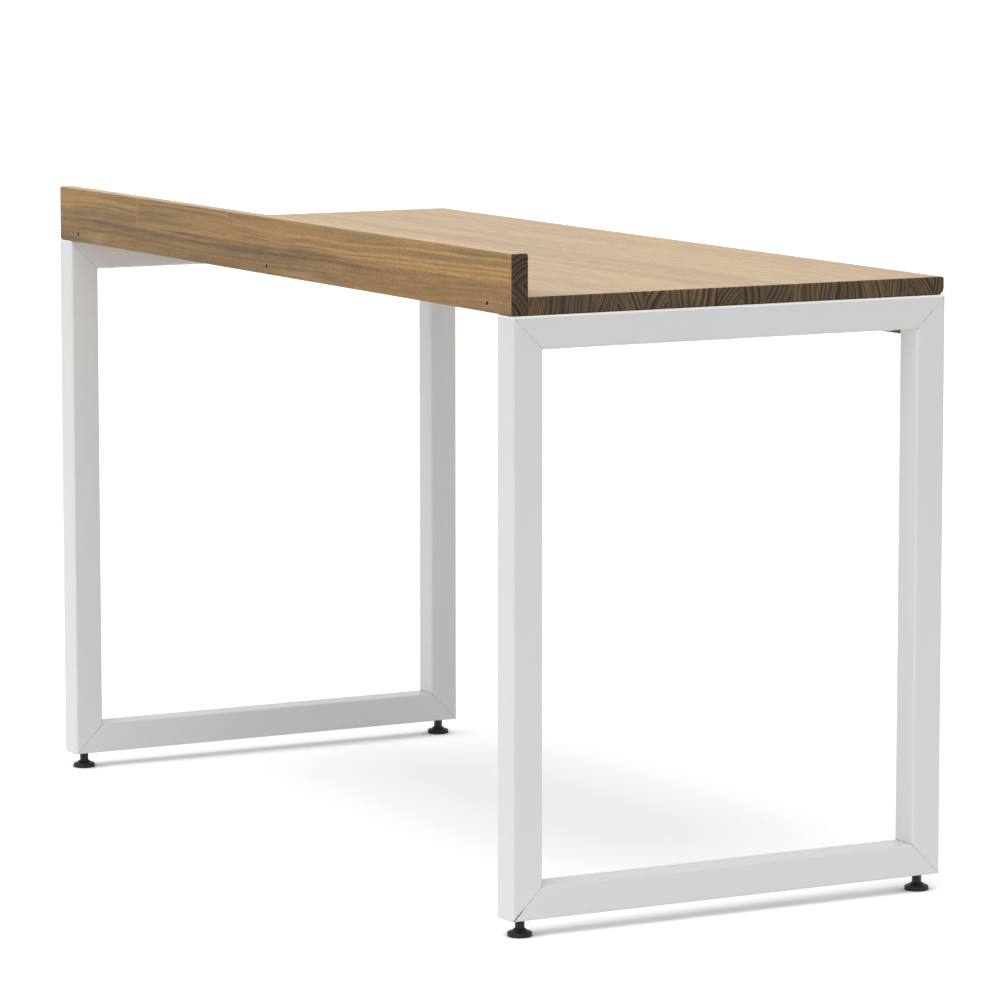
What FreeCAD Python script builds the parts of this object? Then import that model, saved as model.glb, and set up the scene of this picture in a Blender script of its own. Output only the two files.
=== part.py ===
import FreeCAD, Part
import Sketcher
import os
import re

# Office desk: a glued pine top with a rear upstand, on two welded loop frames of square steel tube.
# A screw-adjusted foot stands under each corner of the frames.
# Millimetres, +Z up, origin on the floor under the middle of the desk. The user sits on the -Y side.

Vector = FreeCAD.Vector
doc = FreeCAD.newDocument("office_desk")

# How many of each, and the sign of each side's place
FULL_STAVES = 16
RAIL_SCREWS = 3
BATTEN_SCREWS = 4
UPSTAND_SCREWS = 3
SIDES = {"left": -1, "right": 1}
ENDS = {"front": -1, "rear": 1}

# Driving dimensions first, then what follows from them
SIZES = (
    ("desk_length", "1300", "end to end"),
    ("desk_depth", "600", "front edge to the rear face of the upstand"),
    ("top_height", "760", "floor to the working surface, with the feet as set"),
    ("top_thickness", "22", "glued board"),
    ("end_setback", "3", "sawn ends of the wood from the outer faces of the frames"),
    ("rear_stave_width", "18", "first stave, trimmed against the upstand"),
    ("front_stave_width", "16", "last stave, trimmed at the front edge"),
    ("long_arris", "3", "rounding along the outer long edges of the wood"),
    ("front_lower_arris", "8", "rounding under the front edge"),
    ("end_arris", "2", "rounding round the sawn ends of the wood"),
    ("upstand_thickness", "22", "front to back"),
    ("upstand_rise", "51", "above the working surface"),
    ("batten_thickness", "22", "front to back"),
    ("batten_depth", "50", "below the board"),
    ("batten_setback", "16", "from the front edge of the board"),
    ("batten_end_gap", "0.5", "between the batten and each frame"),
    ("tube_side", "40", "square tube, outside"),
    ("tube_wall", "1.5", "tube wall"),
    ("tube_corner", "3", "outside corner radius of the tube"),
    ("foot_height", "21.5", "floor to the underside of the frames"),
    ("drill_clearance", "0.1", "radial, round a screw in its hole"),
    ("rail_screw_inset", "68", "first and last rail screw from the ends of the rail"),
    ("rail_screw_radius", "2.5", "shank"),
    ("rail_screw_bite", "15", "depth in the board"),
    ("rail_hole_clearance", "0.25", "radial, round a rail screw in the tube walls"),
    ("pan_head_radius", "5", "rail screw head"),
    ("pan_head_height", "2.1", "rail screw head"),
    ("pan_head_round", "1.4", "rounded rim of the head"),
    ("batten_screw_inset", "80", "first and last batten screw from the ends of the batten"),
    ("batten_screw_radius", "2", "shank"),
    ("batten_screw_bite", "14", "depth in the board"),
    ("batten_screw_grip", "24", "batten left above the head"),
    ("batten_head_radius", "4", "head"),
    ("batten_head_height", "2.6", "head"),
    ("upstand_screw_inset", "61", "first and last upstand screw from the ends of the upstand"),
    ("upstand_screw_radius", "1.75", "shank"),
    ("upstand_screw_bite", "28", "depth in the rear edge of the board"),
    ("upstand_head_radius", "2.4", "narrow head"),
    ("upstand_head_height", "3", "narrow head"),
    ("upstand_head_sink", "4", "head below the rear face"),
    ("screw_point", "4", "length of a screw's point"),
    ("pad_radius", "15", "sole of the foot"),
    ("pad_bevel", "0.8", "bevel round the sole"),
    ("pad_rim_height", "5.4", "rim of the pad"),
    ("pad_rim_round", "2", "rounding of the rim"),
    ("pad_shoulder_radius", "9.4", "where the pad's slope meets its cup"),
    ("pad_shoulder_height", "7.2", "where the pad's slope meets its cup"),
    ("cup_radius", "7.6", "lip of the cup"),
    ("cup_height", "9", "lip of the cup above the floor"),
    ("cup_floor", "6", "seat of the collar above the floor"),
    ("cup_clearance", "0.35", "radial, round the collar's corners"),
    ("seat_gap", "0.1", "between the turning stem and the pad"),
    ("collar_flats", "10", "across flats"),
    ("collar_top", "20.5", "above the floor"),
    ("collar_crown", "4.5", "radius of the flat on top of the collar"),
    ("stud_radius", "3.95", "screw thread, outside"),
    ("stud_top", "50", "above the floor"),
    ("stud_bevel", "0.8", "bevel on the end of the screw"),
    ("neck_radius", "3", "plain neck through the pad"),
    ("rivet_radius", "5", "head that holds the stem in the pad"),
    ("rivet_thickness", "2", "head that holds the stem in the pad"),
    ("rivet_room", "0.6", "radial, round the head in the sole"),
    ("web_underside", "3.6", "ceiling of the recess in the sole"),
    ("thread_clearance", "0.05", "radial, between screw and nut"),
    ("foot_hole_clearance", "0.5", "radial, round the screw in the tube wall"),
    ("nut_flats", "13", "across flats"),
    ("nut_height", "6.5", "nut welded inside the rail"),
    ("top_underside", "=top_height - top_thickness", "underside of the board"),
    ("panel_depth", "=desk_depth - upstand_thickness", "the board without the upstand"),
    ("trimmed_staves", "=rear_stave_width + front_stave_width", "the two narrow staves together"),
    ("stave_width", f"=(panel_depth - trimmed_staves) / {FULL_STAVES}", "one full stave of the board"),
    ("wood_length", "=desk_length - 2 * end_setback", "board and upstand, end to end"),
    ("upstand_stave", "=(top_thickness + upstand_rise) / 2", "one of the two staves of the upstand"),
    ("frame_height", "=top_underside - foot_height", "loop frame, outside"),
    ("frame_place", "=(desk_length - tube_side) / 2", "middle of a frame from the middle of the desk"),
    ("leg_place", "=(desk_depth - tube_side) / 2", "middle of a leg from the middle of the desk"),
    ("bore_corner", "=tube_corner - tube_wall", "inside corner radius of the tube"),
    ("rail_underside", "=top_underside - tube_side", "under the top rails"),
    ("batten_length", "=desk_length - 2 * tube_side - 2 * batten_end_gap", "between the frames"),
    ("batten_place", "=-desk_depth / 2 + batten_setback + batten_thickness / 2", "middle of the batten"),
    ("collar_corner", "=collar_flats / sqrt(3)", "centre of the collar to a corner"),
    ("nut_corner", "=nut_flats / sqrt(3)", "centre of the nut to a corner"),
)

sheet = doc.addObject("Spreadsheet::Sheet", "Sizes")
for row, (alias, value, meaning) in enumerate(SIZES, start=1):
    sheet.set(f"A{row}", alias)
    sheet.set(f"B{row}", value)
    sheet.setAlias(f"B{row}", alias)
    sheet.set(f"C{row}", meaning)
doc.recompute()

ALIASES = {alias for alias, value, meaning in SIZES}
TOLERANCE = 0.001
nodes = []


def formula(text):
    """A formula of size names, with each name made a reference to the sheet."""
    return re.sub(r"[a-z_]+", lambda word: refer(word.group()), str(text))


def refer(word):
    return f"Sizes.{word}" if word in ALIASES else word


def value_of(text):
    return float(sheet.evalExpression(formula(text)))


def bind(thing, name, text):
    thing.setExpression(name, formula(text))


def place(thing, x="0", y="0", z="0", rotation=None):
    """Puts a sub-part at a place given by formulas, after an optional turn."""
    thing.Placement = FreeCAD.Placement(Vector(), rotation or FreeCAD.Rotation())
    bind(thing, "Placement.Base.x", x)
    bind(thing, "Placement.Base.y", y)
    bind(thing, "Placement.Base.z", z)


def new_body(label):
    body = doc.addObject("PartDesign::Body", label)
    body.Label = label
    return body


def sketch_on(body, role):
    plane = next(feature for feature in body.Origin.OriginFeatures if feature.Role == role)
    sketch = body.newObject("Sketcher::SketchObject", f"{body.Name}_sketch")
    sketch.AttachmentSupport = [(plane, "")]
    sketch.MapMode = "FlatFace"
    return sketch


def pin_point(sketch, geometry, position, x, y):
    """Ties one point of a sketch to formulas for its two coordinates."""
    for kind, text in (("DistanceX", x), ("DistanceY", y)):
        number = sketch.addConstraint(Sketcher.Constraint(kind, -1, 1, geometry, position, value_of(text)))
        bind(sketch, f"Constraints[{number}]", text)


def outline(sketch, corners):
    """Closed outline with straight sides. Each corner is a pair of formulas."""
    spots = [Vector(value_of(x), value_of(y), 0) for x, y in corners]
    sides = []
    for here, there in zip(spots, spots[1:] + spots[:1]):
        sides.append(sketch.addGeometry(Part.LineSegment(here, there)))
    for side, following in zip(sides, sides[1:] + sides[:1]):
        sketch.addConstraint(Sketcher.Constraint("Coincident", side, 2, following, 1))
    for side, (x, y) in zip(sides, corners):
        pin_point(sketch, side, 1, x, y)


def rectangle(sketch, width, height):
    """Rectangle centred on the sketch's origin."""
    right, top = f"({width}) / 2", f"({height}) / 2"
    outline(sketch, ((f"-{right}", f"-{top}"), (right, f"-{top}"), (right, top), (f"-{right}", top)))


def hexagon(sketch, flats, corner):
    """Hexagon centred on the sketch's origin, with two flats facing the sketch's Y."""
    side, half = f"{flats} / 2", f"{corner} / 2"
    right = ((half, f"-{side}"), (corner, "0"), (half, side))
    left = ((f"-{half}", side), (f"-{corner}", "0"), (f"-{half}", f"-{side}"))
    outline(sketch, right + left)


def circle(sketch, x, y, radius):
    centre = Vector(value_of(x), value_of(y), 0)
    ring = sketch.addGeometry(Part.Circle(centre, Vector(0, 0, 1), value_of(radius)))
    pin_point(sketch, ring, 3, x, y)
    number = sketch.addConstraint(Sketcher.Constraint("Radius", ring, value_of(radius)))
    bind(sketch, f"Constraints[{number}]", radius)


def pad(body, sketch, length, side_type="One side"):
    feature = body.newObject("PartDesign::Pad", f"{body.Name}_pad")
    feature.Profile = sketch
    feature.SideType = side_type
    bind(feature, "Length", length)
    return feature


def cut_through(body, sketch, side_type="Symmetric"):
    """Cuts a sketch right through: both ways, or only against the sketch's normal."""
    before = body.Shape.Volume
    feature = body.newObject("PartDesign::Pocket", f"{body.Name}_cut")
    feature.Profile = sketch
    feature.Type = "ThroughAll"
    feature.SideType = side_type
    doc.recompute()
    if body.Shape.Volume >= before:
        raise RuntimeError(f"{body.Label}: a cut took nothing away")


def turn(body, corners, feature_type="PartDesign::Revolution"):
    """Turns a profile of (radius, height) formulas about the local Z axis."""
    sketch = sketch_on(body, "XZ_Plane")
    outline(sketch, corners)
    feature = body.newObject(feature_type, f"{body.Name}_turned")
    feature.Profile = sketch
    feature.ReferenceAxis = (sketch, ["V_Axis"])
    doc.recompute()
    return feature


def round_edges(body, test, radius):
    """Rounds the edges of the body's newest feature that pass the test."""
    doc.recompute()
    feature = body.Tip
    names = [f"Edge{number}" for number, edge in enumerate(feature.Shape.Edges, start=1) if test(edge)]
    if not names:
        raise RuntimeError(f"{body.Label}: found no edge to round")
    fillet = body.newObject("PartDesign::Fillet", f"{body.Name}_round")
    fillet.Base = (feature, names)
    bind(fillet, "Radius", radius)
    doc.recompute()


def runs_along(edge, axis):
    """True for a straight edge that runs along one local axis: 0 is X, 1 is Y, 2 is Z."""
    if edge.Curve.TypeId != "Part::GeomLine":
        return False
    return abs(edge.tangentAt(edge.FirstParameter)[axis]) > 1 - TOLERANCE


def near(one, other):
    return abs(one - other) < TOLERANCE


def finished(thing, label):
    """Takes a sub-part into the finished desk under its name."""
    thing.Label = label
    nodes.append(thing)


def spread(count, inset, length):
    """Formulas for places along a length centred on 0, evenly spaced, the outer two set in from its ends."""
    reach = f"(({length}) / 2 - {inset})"
    return [f"{reach} * ({2 * step / (count - 1) - 1})" for step in range(count)]


# Loop frames: square tubes, mitred and welded into a closed loop under each end of the top
def mitred_tube(label, length):
    """Tube along local Z from 0, its outer wall on local -X, both ends mitred at 45 degrees."""
    body = new_body(label)
    profile = sketch_on(body, "XY_Plane")
    rectangle(profile, "tube_side", "tube_side")
    rectangle(profile, "tube_side - 2 * tube_wall", "tube_side - 2 * tube_wall")
    pad(body, profile, length)
    for half, radius in (("tube_side / 2", "tube_corner"), ("tube_side / 2 - tube_wall", "bore_corner")):
        reach = value_of(half)
        round_edges(body, lambda edge: runs_along(edge, 2) and near(abs(edge.CenterOfMass.x), reach), radius)
    mitres = sketch_on(body, "XZ_Plane")
    low, high = "-tube_side", "tube_side"
    over = "tube_side / 2"
    outline(mitres, ((low, f"-{over}"), (high, f"-{over}"), (high, f"3 * {over}")))
    end = f"{length} + {over}"
    outline(mitres, ((low, end), (high, end), (high, f"{length} - 3 * {over}")))
    cut_through(body, mitres)
    return body


def bore_tube(body, places, radius, side_type):
    """Round holes across the tube on its middle line, at places along its length."""
    holes = sketch_on(body, "YZ_Plane")
    for along in places:
        circle(holes, "0", along, radius)
    cut_through(body, holes, side_type)


ALONG_X, ALONG_Y, ALONG_Z = Vector(1, 0, 0), Vector(0, 1, 0), Vector(0, 0, 1)
LEG_TURNS = {
    "front": FreeCAD.Rotation(ALONG_Y, -ALONG_X, ALONG_Z, "ZXY"),
    "rear": FreeCAD.Rotation(-ALONG_Y, ALONG_X, ALONG_Z, "ZXY"),
}
TOP_RAIL_TURN = FreeCAD.Rotation(-ALONG_Z, -ALONG_X, ALONG_Y, "ZXY")
BOTTOM_RAIL_TURN = FreeCAD.Rotation(ALONG_Z, ALONG_X, ALONG_Y, "ZXY")

rail_screw_places = spread(RAIL_SCREWS, "rail_screw_inset", "desk_depth")
for side, sign in SIDES.items():
    for end, direction in ENDS.items():
        leg = mitred_tube(f"{side}_frame_{end}_leg", "frame_height")
        place(leg, f"{sign} * frame_place", f"{direction} * leg_place", "foot_height", LEG_TURNS[end])
        finished(leg, f"{side}_frame_{end}_leg")

    top_rail = mitred_tube(f"{side}_frame_top_rail", "desk_depth")
    along_rail = [f"desk_depth / 2 + {middle}" for middle in rail_screw_places]
    bore_tube(top_rail, along_rail, "rail_screw_radius + rail_hole_clearance", "Symmetric")
    top_middle = "top_underside - tube_side / 2"
    place(top_rail, f"{sign} * frame_place", "-desk_depth / 2", top_middle, TOP_RAIL_TURN)
    finished(top_rail, f"{side}_frame_top_rail")

    bottom_rail = mitred_tube(f"{side}_frame_bottom_rail", "desk_depth")
    under_legs = [f"desk_depth / 2 + {direction} * leg_place" for direction in ENDS.values()]
    bore_tube(bottom_rail, under_legs, "stud_radius + foot_hole_clearance", "One side")
    bottom_middle = "foot_height + tube_side / 2"
    place(bottom_rail, f"{sign} * frame_place", "-desk_depth / 2", bottom_middle, BOTTOM_RAIL_TURN)
    finished(bottom_rail, f"{side}_frame_bottom_rail")


# Levelling feet: a nut welded in the rail, and a screw that turns in a round pad
def foot_nut(label):
    body = new_body(label)
    profile = sketch_on(body, "XY_Plane")
    hexagon(profile, "nut_flats", "nut_corner")
    circle(profile, "0", "0", "stud_radius + thread_clearance")
    pad(body, profile, "nut_height")
    return body


def foot_pad(label):
    """Moulded pad with a cup for the collar and a recess in its sole for the stem's riveted head."""
    body = new_body(label)
    cup_bore = "collar_corner + cup_clearance"
    neck_hole = "neck_radius + seat_gap"
    recess = "rivet_radius + rivet_room"
    turn(
        body,
        (
            (recess, "0"),
            ("pad_radius - pad_bevel", "0"),
            ("pad_radius", "pad_bevel"),
            ("pad_radius", "pad_rim_height"),
            ("pad_shoulder_radius", "pad_shoulder_height"),
            ("cup_radius", "cup_height"),
            (cup_bore, "cup_height"),
            (cup_bore, "cup_floor"),
            (neck_hole, "cup_floor"),
            (neck_hole, "web_underside"),
            (recess, "web_underside"),
        ),
    )
    rim_height = value_of("pad_rim_height")
    rim_reach = value_of("pad_radius")
    round_edges(
        body,
        lambda edge: near(edge.BoundBox.ZMin, rim_height) and near(edge.BoundBox.XMax, rim_reach),
        "pad_rim_round",
    )
    return body


def foot_collar(label):
    """Hexagonal collar moulded on the screw, for turning the foot by hand or with a spanner."""
    body = new_body(label)
    profile = sketch_on(body, "XY_Plane")
    hexagon(profile, "collar_flats", "collar_corner")
    circle(profile, "0", "0", "stud_radius + thread_clearance")
    height = "collar_top - cup_floor - seat_gap"
    pad(body, profile, height)
    doc.recompute()
    before = body.Shape.Volume
    turn(
        body,
        (
            ("collar_crown", height),
            ("2 * collar_corner", height),
            ("2 * collar_corner", f"{height} - 2 * collar_corner + collar_crown"),
        ),
        "PartDesign::Groove",
    )
    if body.Shape.Volume >= before:
        raise RuntimeError(f"{label}: the bevel took nothing away")
    return body


def foot_stud(label):
    """Screw with a plain neck through the pad, riveted over under the pad's web."""
    body = new_body(label)
    rivet_top = "web_underside - seat_gap"
    rivet_bottom = f"{rivet_top} - rivet_thickness"
    seat = "cup_floor + seat_gap"
    turn(
        body,
        (
            ("0", rivet_bottom),
            ("rivet_radius", rivet_bottom),
            ("rivet_radius", rivet_top),
            ("neck_radius", rivet_top),
            ("neck_radius", seat),
            ("stud_radius", seat),
            ("stud_radius", "stud_top - stud_bevel"),
            ("stud_radius - stud_bevel", "stud_top"),
            ("0", "stud_top"),
        ),
    )
    return body


FOOT_PIECES = {
    "pad": (foot_pad, "0"),
    "collar": (foot_collar, "cup_floor + seat_gap"),
    "stud": (foot_stud, "0"),
    "nut": (foot_nut, "foot_height + tube_wall"),
}
for side, sign in SIDES.items():
    for end, direction in ENDS.items():
        for piece, (make, height) in FOOT_PIECES.items():
            label = f"{end}_{side}_foot_{piece}"
            body = make(label)
            place(body, f"{sign} * frame_place", f"{direction} * leg_place", height)
            finished(body, label)


# Screws, and the holes that they need in the wood
def screw_form(label, head_radius, head_height, shank_radius, shank_length):
    """Head below local zero, shank and point above it."""
    body = new_body(label)
    turn(
        body,
        (
            ("0", f"-({head_height})"),
            (head_radius, f"-({head_height})"),
            (head_radius, "0"),
            (shank_radius, "0"),
            (shank_radius, f"{shank_length} - screw_point"),
            ("0", shank_length),
        ),
    )
    return body


def screw_set(label, places, head, shank, head_room, head_round=None):
    """One node of like screws, and a drilled hole for each with room behind its head."""
    screws = []
    for number, (x, y, z, rotation) in enumerate(places, start=1):
        screw = screw_form(f"{label}_{number}", *head, *shank)
        if head_round:
            head_end = value_of(f"-({head[1]})")
            round_edges(screw, lambda edge: near(edge.BoundBox.ZMax, head_end), head_round)
        hole = screw_form(
            f"{label}_{number}_hole",
            f"{head[0]} + drill_clearance",
            head_room,
            f"{shank[0]} + drill_clearance",
            f"{shank[1]} + drill_clearance",
        )
        for form in (screw, hole):
            place(form, x, y, z, rotation)
        screws.append(screw)
        holes.append(hole)
    group = doc.addObject("Part::Compound", label)
    group.Links = screws
    finished(group, label)


holes = []
UPRIGHT = FreeCAD.Rotation()
INTO_REAR_EDGE = FreeCAD.Rotation(ALONG_X, 90)
for side, sign in SIDES.items():
    screw_set(
        f"{side}_rail_screws",
        [(f"{sign} * frame_place", along, "rail_underside", UPRIGHT) for along in rail_screw_places],
        ("pan_head_radius", "pan_head_height"),
        ("rail_screw_radius", "tube_side + rail_screw_bite"),
        "pan_head_height",
        "pan_head_round",
    )
screw_set(
    "batten_screws",
    [
        (along, "batten_place", "top_underside - batten_screw_grip", UPRIGHT)
        for along in spread(BATTEN_SCREWS, "batten_screw_inset", "batten_length")
    ],
    ("batten_head_radius", "batten_head_height"),
    ("batten_screw_radius", "batten_screw_grip + batten_screw_bite"),
    "2 * (batten_depth - batten_screw_grip)",
)
upstand_seat = "(upstand_head_sink + upstand_head_height)"
screw_set(
    "upstand_screws",
    [
        (along, f"desk_depth / 2 - {upstand_seat}", "top_underside + top_thickness / 2", INTO_REAR_EDGE)
        for along in spread(UPSTAND_SCREWS, "upstand_screw_inset", "wood_length")
    ],
    ("upstand_head_radius", "upstand_head_height"),
    ("upstand_screw_radius", f"upstand_thickness - {upstand_seat} + upstand_screw_bite"),
    f"2 * {upstand_seat}",
)
drillings = doc.addObject("Part::Compound", "drillings")
drillings.Links = holes


# Wood: staves glued edge to edge, drilled after gluing
def board(label, width, thickness, length, long_rounds, round_ends):
    """Board along X, centred on its own origin, with chosen long edges rounded."""
    body = new_body(f"{label}_blank")
    profile = sketch_on(body, "YZ_Plane")
    rectangle(profile, width, thickness)
    pad(body, profile, length, "Symmetric")
    half_width, half_thickness = value_of(f"({width}) / 2"), value_of(f"({thickness}) / 2")
    for (across, up), radius in long_rounds.items():
        round_edges(
            body,
            lambda edge: runs_along(edge, 0)
            and near(edge.CenterOfMass.y, across * half_width)
            and near(edge.CenterOfMass.z, up * half_thickness),
            radius,
        )
    reach = value_of(f"({length}) / 2")
    round_edges(
        body,
        lambda edge: near(edge.BoundBox.XLength, 0)
        and near(abs(edge.CenterOfMass.x), reach)
        and round_ends(edge),
        "end_arris",
    )
    drilled = doc.addObject("Part::Cut", label)
    drilled.Base = body
    drilled.Tool = drillings
    return body, drilled


def top_and_bottom(edge):
    """End edges that show where a stave has a neighbour on both sides."""
    return runs_along(edge, 1)


def all_but_rear(edge):
    """End edges that show on the front stave."""
    return not (runs_along(edge, 2) and edge.CenterOfMass.y > 0)


def all_but_upper(edge):
    """End edges that show on a stave with another glued on top of it."""
    return not (runs_along(edge, 1) and edge.CenterOfMass.z > 0)


def all_but_lower(edge):
    """End edges that show on a stave glued on top of another."""
    return not (runs_along(edge, 1) and edge.CenterOfMass.z < 0)


FRONT, REAR, LOWER, UPPER = -1, 1, -1, 1
REAR_STAVE, FRONT_STAVE = 1, FULL_STAVES + 2
panel_rear = "desk_depth / 2 - upstand_thickness"
for number in range(REAR_STAVE, FRONT_STAVE + 1):
    width, rounds, round_ends = "stave_width", {}, top_and_bottom
    middle = f"{panel_rear} - rear_stave_width - {number - 1.5} * stave_width"
    if number == REAR_STAVE:
        width = "rear_stave_width"
        middle = f"{panel_rear} - rear_stave_width / 2"
    if number == FRONT_STAVE:
        width = "front_stave_width"
        middle = "(front_stave_width - desk_depth) / 2"
        rounds = {(FRONT, UPPER): "long_arris", (FRONT, LOWER): "front_lower_arris"}
        round_ends = all_but_rear
    label = f"top_stave_{number:02d}"
    blank, stave = board(label, width, "top_thickness", "wood_length", rounds, round_ends)
    place(blank, "0", middle, "top_underside + top_thickness / 2")
    finished(stave, label)

UPSTAND_STAVES = {
    "lower": ({(REAR, LOWER): "long_arris"}, all_but_upper, 0.5),
    "upper": ({(REAR, UPPER): "long_arris", (FRONT, UPPER): "long_arris"}, all_but_lower, 1.5),
}
for level, (rounds, round_ends, rank) in UPSTAND_STAVES.items():
    label = f"upstand_{level}_stave"
    blank, stave = board(label, "upstand_thickness", "upstand_stave", "wood_length", rounds, round_ends)
    place(blank, "0", "(desk_depth - upstand_thickness) / 2", f"top_underside + {rank} * upstand_stave")
    finished(stave, label)

batten_rounds = {(FRONT, LOWER): "long_arris", (REAR, LOWER): "long_arris"}
batten_size = ("batten_thickness", "batten_depth", "batten_length")
blank, batten = board("front_batten", *batten_size, batten_rounds, all_but_upper)
place(blank, "0", "batten_place", "top_underside - batten_depth / 2")
finished(batten, "front_batten")

# Every object has to have worked before anything is written
doc.recompute()
for thing in doc.Objects:
    if {"Invalid", "Error"} & set(thing.State):
        raise RuntimeError(f"{thing.Label} failed: {thing.State}")
for node in nodes:
    if node.Shape.isNull() or not node.Shape.isValid() or not node.Shape.Solids:
        raise RuntimeError(f"{node.Label} has no valid solid")

os.makedirs("parts", exist_ok=True)
for node in nodes:
    node.Shape.exportStep(f"parts/{node.Label}.step")
print(len(nodes), "nodes,", sum(len(node.Shape.Solids) for node in nodes), "solids")
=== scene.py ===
import math

import bpy
from mathutils import Matrix, Vector


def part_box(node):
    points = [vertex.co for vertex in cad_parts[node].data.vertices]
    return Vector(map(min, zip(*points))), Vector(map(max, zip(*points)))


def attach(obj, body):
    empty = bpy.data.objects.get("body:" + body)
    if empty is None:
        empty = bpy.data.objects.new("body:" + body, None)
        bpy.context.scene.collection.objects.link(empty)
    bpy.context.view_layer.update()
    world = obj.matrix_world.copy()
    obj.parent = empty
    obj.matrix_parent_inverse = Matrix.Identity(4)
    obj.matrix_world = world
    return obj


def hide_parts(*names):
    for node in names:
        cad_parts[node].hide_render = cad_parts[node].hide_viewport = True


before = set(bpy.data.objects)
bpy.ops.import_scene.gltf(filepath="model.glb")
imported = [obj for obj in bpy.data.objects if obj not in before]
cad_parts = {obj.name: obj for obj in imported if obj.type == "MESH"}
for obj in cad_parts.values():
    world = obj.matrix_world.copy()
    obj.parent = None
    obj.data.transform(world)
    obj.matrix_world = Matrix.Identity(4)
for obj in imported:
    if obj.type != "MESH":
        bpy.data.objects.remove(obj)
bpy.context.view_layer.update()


# Loop frames: square steel tube, mitred, welded, ground flush and powder coated in satin white.
# The coat leaves a hairline at every mitre, small pits where the inner corners meet and a thread
# of rust in one seam near the floor. Along its upper edge the coat is painted lighter, a painted highlight.
def add_node(tree, kind, inputs=None, **settings):
    """Adds a shader node. Inputs are values, or outputs of other nodes to link."""
    node = tree.nodes.new(kind)
    for name, value in settings.items():
        setattr(node, name, value)
    for socket, value in (inputs or {}).items():
        if isinstance(value, bpy.types.NodeSocket):
            tree.links.new(value, node.inputs[socket])
        else:
            node.inputs[socket].default_value = value
    return node


def calculate(tree, operation, *values):
    return add_node(tree, "ShaderNodeMath", dict(enumerate(values)), operation=operation).outputs[0]


def steer(tree, operation, first, second):
    """Vector arithmetic: a new vector, or the distance between two places."""
    node = add_node(tree, "ShaderNodeVectorMath", {0: first, 1: second}, operation=operation)
    return node.outputs["Value" if operation == "DISTANCE" else "Vector"]


def ease(tree, value, low, high, start=0.0, end=1.0):
    """Runs smoothly from start to end while the value goes from low to high."""
    inputs = {0: value, 1: low, 2: high, 3: start, 4: end}
    return add_node(tree, "ShaderNodeMapRange", inputs, interpolation_type="SMOOTHSTEP").outputs[0]


def mix(tree, factor, first, second, blend_type="MIX"):
    inputs = {0: factor, 6: first, 7: second}
    return add_node(tree, "ShaderNodeMix", inputs, data_type="RGBA", blend_type=blend_type).outputs[2]


def place_in(tree, scale=(1, 1, 1), offset=(0, 0, 0)):
    """The piece's own coordinates, stretched for a pattern."""
    coords = add_node(tree, "ShaderNodeTexCoord").outputs["Object"]
    inputs = {"Vector": coords, "Scale": scale, "Location": offset}
    return add_node(tree, "ShaderNodeMapping", inputs).outputs[0]


def noise(tree, vector, scale=1.0, detail=2.0, rough=0.5):
    inputs = {"Vector": vector, "Scale": scale, "Detail": detail, "Roughness": rough}
    return add_node(tree, "ShaderNodeTexNoise", inputs).outputs["Fac"]


def new_material(name):
    material = bpy.data.materials.new(name)
    material.use_nodes = True
    return material, material.node_tree, material.node_tree.nodes["Principled BSDF"]


def feed(tree, shader, **links):
    """Links outputs to the shader's inputs, named with _ for a space."""
    for socket, output in links.items():
        tree.links.new(output, shader.inputs[socket.replace("_", " ")])


def bump(tree, height, distance, strength=1.0):
    inputs = {"Height": height, "Distance": distance, "Strength": strength}
    return add_node(tree, "ShaderNodeBump", inputs).outputs[0]


def cover(node_name, material):
    """Gives a CAD node one finish all over."""
    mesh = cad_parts[node_name].data
    mesh.materials.clear()
    mesh.materials.append(material)


COAT_TONES = (0.738, 0.740, 0.740, 1), (0.766, 0.767, 0.765, 1)
# The near-white colour here and the depths below paint a highlight along the top 1.2 to 2.8 mm of the frames.
HIGHLIGHT_WHITE, SEAM_DARK = (0.930, 0.936, 0.940, 1), (0.16, 0.15, 0.14, 1)
RUST_BROWN = (0.225, 0.130, 0.072, 1)
HAIR_WIDTHS, PIT_REACH = (0.00022, 0.00062), (0.0010, 0.0034)
RUST_WIDTHS, RUST_REACH, RUST_INSET = (0.0010, 0.0026), (0.012, 0.025), (0.0005, 0.0020)
HIGHLIGHT_DEPTH = (0.0028, 0.0012)
frame_low, frame_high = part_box("left_frame_rear_leg")
tube = frame_high.y - frame_low.y
white_paint, tree, shader = new_material("white_paint")
spot = add_node(tree, "ShaderNodeSeparateXYZ", {0: place_in(tree)})
across = calculate(tree, "ABSOLUTE", spot.outputs["Y"])
up = spot.outputs["Z"]
lower_sum = frame_high.y + frame_low.z
upper_difference = frame_high.y - frame_high.z
past_lower = calculate(tree, "SUBTRACT", calculate(tree, "ADD", across, up), lower_sum)
past_upper = calculate(tree, "SUBTRACT", calculate(tree, "SUBTRACT", across, up), upper_difference)
to_lower, to_upper = calculate(tree, "ABSOLUTE", past_lower), calculate(tree, "ABSOLUTE", past_upper)
to_seam = calculate(tree, "MINIMUM", to_lower, to_upper)
patchy = noise(tree, place_in(tree), 130, 2)
hair_width = ease(tree, patchy, 0.35, 0.7, *HAIR_WIDTHS)
hairs_away = calculate(tree, "DIVIDE", to_seam, hair_width)
hairline = calculate(tree, "SUBTRACT", 1, ease(tree, hairs_away, 0.4, 1.3))
inner = calculate(tree, "ABSOLUTE", calculate(tree, "SUBTRACT", across, frame_low.y))
upper_inner = calculate(tree, "ABSOLUTE", calculate(tree, "SUBTRACT", up, frame_high.z - tube))
lower_inner = calculate(tree, "ABSOLUTE", calculate(tree, "SUBTRACT", up, frame_low.z + tube))
frame_middle = -(frame_low.x + frame_high.x) / 2
sideways = calculate(tree, "SUBTRACT", calculate(tree, "ABSOLUTE", spot.outputs["X"]), frame_middle)
to_side = calculate(tree, "SUBTRACT", tube / 2, calculate(tree, "ABSOLUTE", sideways))
to_corner = calculate(tree, "ADD", inner, calculate(tree, "MINIMUM", upper_inner, lower_inner))
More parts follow.
